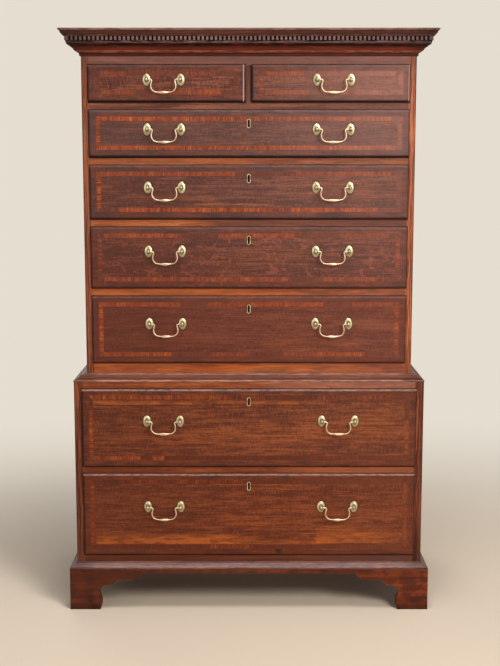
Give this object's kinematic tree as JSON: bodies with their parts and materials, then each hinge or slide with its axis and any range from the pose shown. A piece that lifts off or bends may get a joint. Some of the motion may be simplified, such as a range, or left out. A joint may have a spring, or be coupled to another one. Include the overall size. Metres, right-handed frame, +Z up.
{
  "type": "chest on chest",
  "caption": "Oak chest on chest: crossbanded drawers with swan-neck brass handles, dentil cornice, waist moulding and bracket feet; the upper case lifts off",
  "frame": {"origin": "on the floor, in the middle of the whole width and depth", "axes": "+Z up, the drawers open towards -Y, +X to the right of someone facing the drawers"},
  "size_m": [1.122, 0.5652, 1.7794],
  "materials": {
    "case_oak": "waxed, aged",
    "drawer_front_oak": "waxed, aged, crossbanded",
    "moulding_oak": "waxed, aged",
    "bare_oak": "unfinished, darkened",
    "brass": "cast, worn"
  },
  "bodies": {
    "lower_case": {"lower_side_left": "case_oak", "lower_side_right": "case_oak", "lower_top_board": "bare_oak", "lower_bottom_board": "bare_oak", "lower_back_boards": "bare_oak", "lower_rails": "case_oak", "lower_runners": "bare_oak", "waist_moulding": "moulding_oak", "plinth_moulding": "moulding_oak", "plinth_front_board": "case_oak", "plinth_side_boards": "case_oak", "foot_blocks": "bare_oak"},
    "upper_case": {"upper_side_left": "case_oak", "upper_side_right": "case_oak", "upper_top_board": "bare_oak", "upper_bottom_board": "bare_oak", "upper_back_boards": "bare_oak", "upper_rails": "case_oak", "upper_runners": "bare_oak", "cornice_bed_moulding": "moulding_oak", "cornice_dentils": "moulding_oak", "cornice_crown_moulding": "moulding_oak"},
    "drawer_1_left": {"drawer_1_left_front": "drawer_front_oak", "drawer_1_left_box": "bare_oak", "drawer_1_left_brasses": "brass"},
    "drawer_1_left_bail": {"drawer_1_left_bail": "brass"},
    "drawer_1_right": {"drawer_1_right_front": "drawer_front_oak", "drawer_1_right_box": "bare_oak", "drawer_1_right_brasses": "brass"},
    "drawer_1_right_bail": {"drawer_1_right_bail": "brass"},
    "drawer_2": {"drawer_2_front": "drawer_front_oak", "drawer_2_box": "bare_oak", "drawer_2_brasses": "brass"},
    "drawer_2_bail_left": {"drawer_2_bail_left": "brass"},
    "drawer_2_bail_right": {"drawer_2_bail_right": "brass"},
    "drawer_3": {"drawer_3_front": "drawer_front_oak", "drawer_3_box": "bare_oak", "drawer_3_brasses": "brass"},
    "drawer_3_bail_left": {"drawer_3_bail_left": "brass"},
    "drawer_3_bail_right": {"drawer_3_bail_right": "brass"},
    "drawer_4": {"drawer_4_front": "drawer_front_oak", "drawer_4_box": "bare_oak", "drawer_4_brasses": "brass"},
    "drawer_4_bail_left": {"drawer_4_bail_left": "brass"},
    "drawer_4_bail_right": {"drawer_4_bail_right": "brass"},
    "drawer_5": {"drawer_5_front": "drawer_front_oak", "drawer_5_box": "bare_oak", "drawer_5_brasses": "brass"},
    "drawer_5_bail_left": {"drawer_5_bail_left": "brass"},
    "drawer_5_bail_right": {"drawer_5_bail_right": "brass"},
    "drawer_6": {"drawer_6_front": "drawer_front_oak", "drawer_6_box": "bare_oak", "drawer_6_brasses": "brass"},
    "drawer_6_bail_left": {"drawer_6_bail_left": "brass"},
    "drawer_6_bail_right": {"drawer_6_bail_right": "brass"},
    "drawer_7": {"drawer_7_front": "drawer_front_oak", "drawer_7_box": "bare_oak", "drawer_7_brasses": "brass"},
    "drawer_7_bail_left": {"drawer_7_bail_left": "brass"},
    "drawer_7_bail_right": {"drawer_7_bail_right": "brass"}
  },
  "joints": [
    {"name": "upper_case_lift", "type": "slide", "parent": "lower_case", "child": "upper_case", "axis": [0, 0, 1], "range_m": [0, 0.06]},
    {"name": "drawer_1_left_slide", "type": "slide", "parent": "upper_case", "child": "drawer_1_left", "axis": [0, -1, 0], "range_m": [0, 0.38]},
    {"name": "drawer_1_left_bail_turn", "type": "hinge", "parent": "drawer_1_left", "child": "drawer_1_left_bail", "pos_m": [-0.255, -0.24138, 1.6338], "axis": [-1, 0, 0], "range_deg": [0, 95]},
    {"name": "drawer_1_right_slide", "type": "slide", "parent": "upper_case", "child": "drawer_1_right", "axis": [0, -1, 0], "range_m": [0, 0.38]},
    {"name": "drawer_1_right_bail_turn", "type": "hinge", "parent": "drawer_1_right", "child": "drawer_1_right_bail", "pos_m": [0.255, -0.24138, 1.6338], "axis": [-1, 0, 0], "range_deg": [0, 95]},
    {"name": "drawer_2_slide", "type": "slide", "parent": "upper_case", "child": "drawer_2", "axis": [0, -1, 0], "range_m": [0, 0.38]},
    {"name": "drawer_2_bail_left_turn", "type": "hinge", "parent": "drawer_2", "child": "drawer_2_bail_left", "pos_m": [-0.255, -0.24138, 1.4875], "axis": [-1, 0, 0], "range_deg": [0, 95]},
    {"name": "drawer_2_bail_right_turn", "type": "hinge", "parent": "drawer_2", "child": "drawer_2_bail_right", "pos_m": [0.255, -0.24138, 1.4875], "axis": [-1, 0, 0], "range_deg": [0, 95]},
    {"name": "drawer_3_slide", "type": "slide", "parent": "upper_case", "child": "drawer_3", "axis": [0, -1, 0], "range_m": [0, 0.38]},
    {"name": "drawer_3_bail_left_turn", "type": "hinge", "parent": "drawer_3", "child": "drawer_3_bail_left", "pos_m": [-0.255, -0.24138, 1.3137], "axis": [-1, 0, 0], "range_deg": [0, 95]},
    {"name": "drawer_3_bail_right_turn", "type": "hinge", "parent": "drawer_3", "child": "drawer_3_bail_right", "pos_m": [0.255, -0.24138, 1.3137], "axis": [-1, 0, 0], "range_deg": [0, 95]},
    {"name": "drawer_4_slide", "type": "slide", "parent": "upper_case", "child": "drawer_4", "axis": [0, -1, 0], "range_m": [0, 0.38]},
    {"name": "drawer_4_bail_left_turn", "type": "hinge", "parent": "drawer_4", "child": "drawer_4_bail_left", "pos_m": [-0.255, -0.24138, 1.1207], "axis": [-1, 0, 0], "range_deg": [0, 95]},
    {"name": "drawer_4_bail_right_turn", "type": "hinge", "parent": "drawer_4", "child": "drawer_4_bail_right", "pos_m": [0.255, -0.24138, 1.1207], "axis": [-1, 0, 0], "range_deg": [0, 95]},
    {"name": "drawer_5_slide", "type": "slide", "parent": "upper_case", "child": "drawer_5", "axis": [0, -1, 0], "range_m": [0, 0.38]},
    {"name": "drawer_5_bail_left_turn", "type": "hinge", "parent": "drawer_5", "child": "drawer_5_bail_left", "pos_m": [-0.255, -0.24138, 0.898], "axis": [-1, 0, 0], "range_deg": [0, 95]},
    {"name": "drawer_5_bail_right_turn", "type": "hinge", "parent": "drawer_5", "child": "drawer_5_bail_right", "pos_m": [0.255, -0.24138, 0.898], "axis": [-1, 0, 0], "range_deg": [0, 95]},
    {"name": "drawer_6_slide", "type": "slide", "parent": "lower_case", "child": "drawer_6", "axis": [0, -1, 0], "range_m": [0, 0.41]},
    {"name": "drawer_6_bail_left_turn", "type": "hinge", "parent": "drawer_6", "child": "drawer_6_bail_left", "pos_m": [-0.263, -0.27763, 0.6], "axis": [-1, 0, 0], "range_deg": [0, 95]},
    {"name": "drawer_6_bail_right_turn", "type": "hinge", "parent": "drawer_6", "child": "drawer_6_bail_right", "pos_m": [0.2755, -0.27763, 0.6], "axis": [-1, 0, 0], "range_deg": [0, 95]},
    {"name": "drawer_7_slide", "type": "slide", "parent": "lower_case", "child": "drawer_7", "axis": [0, -1, 0], "range_m": [0, 0.41]},
    {"name": "drawer_7_bail_left_turn", "type": "hinge", "parent": "drawer_7", "child": "drawer_7_bail_left", "pos_m": [-0.263, -0.27763, 0.328], "axis": [-1, 0, 0], "range_deg": [0, 95]},
    {"name": "drawer_7_bail_right_turn", "type": "hinge", "parent": "drawer_7", "child": "drawer_7_bail_right", "pos_m": [0.2755, -0.27763, 0.328], "axis": [-1, 0, 0], "range_deg": [0, 95]}
  ]
}
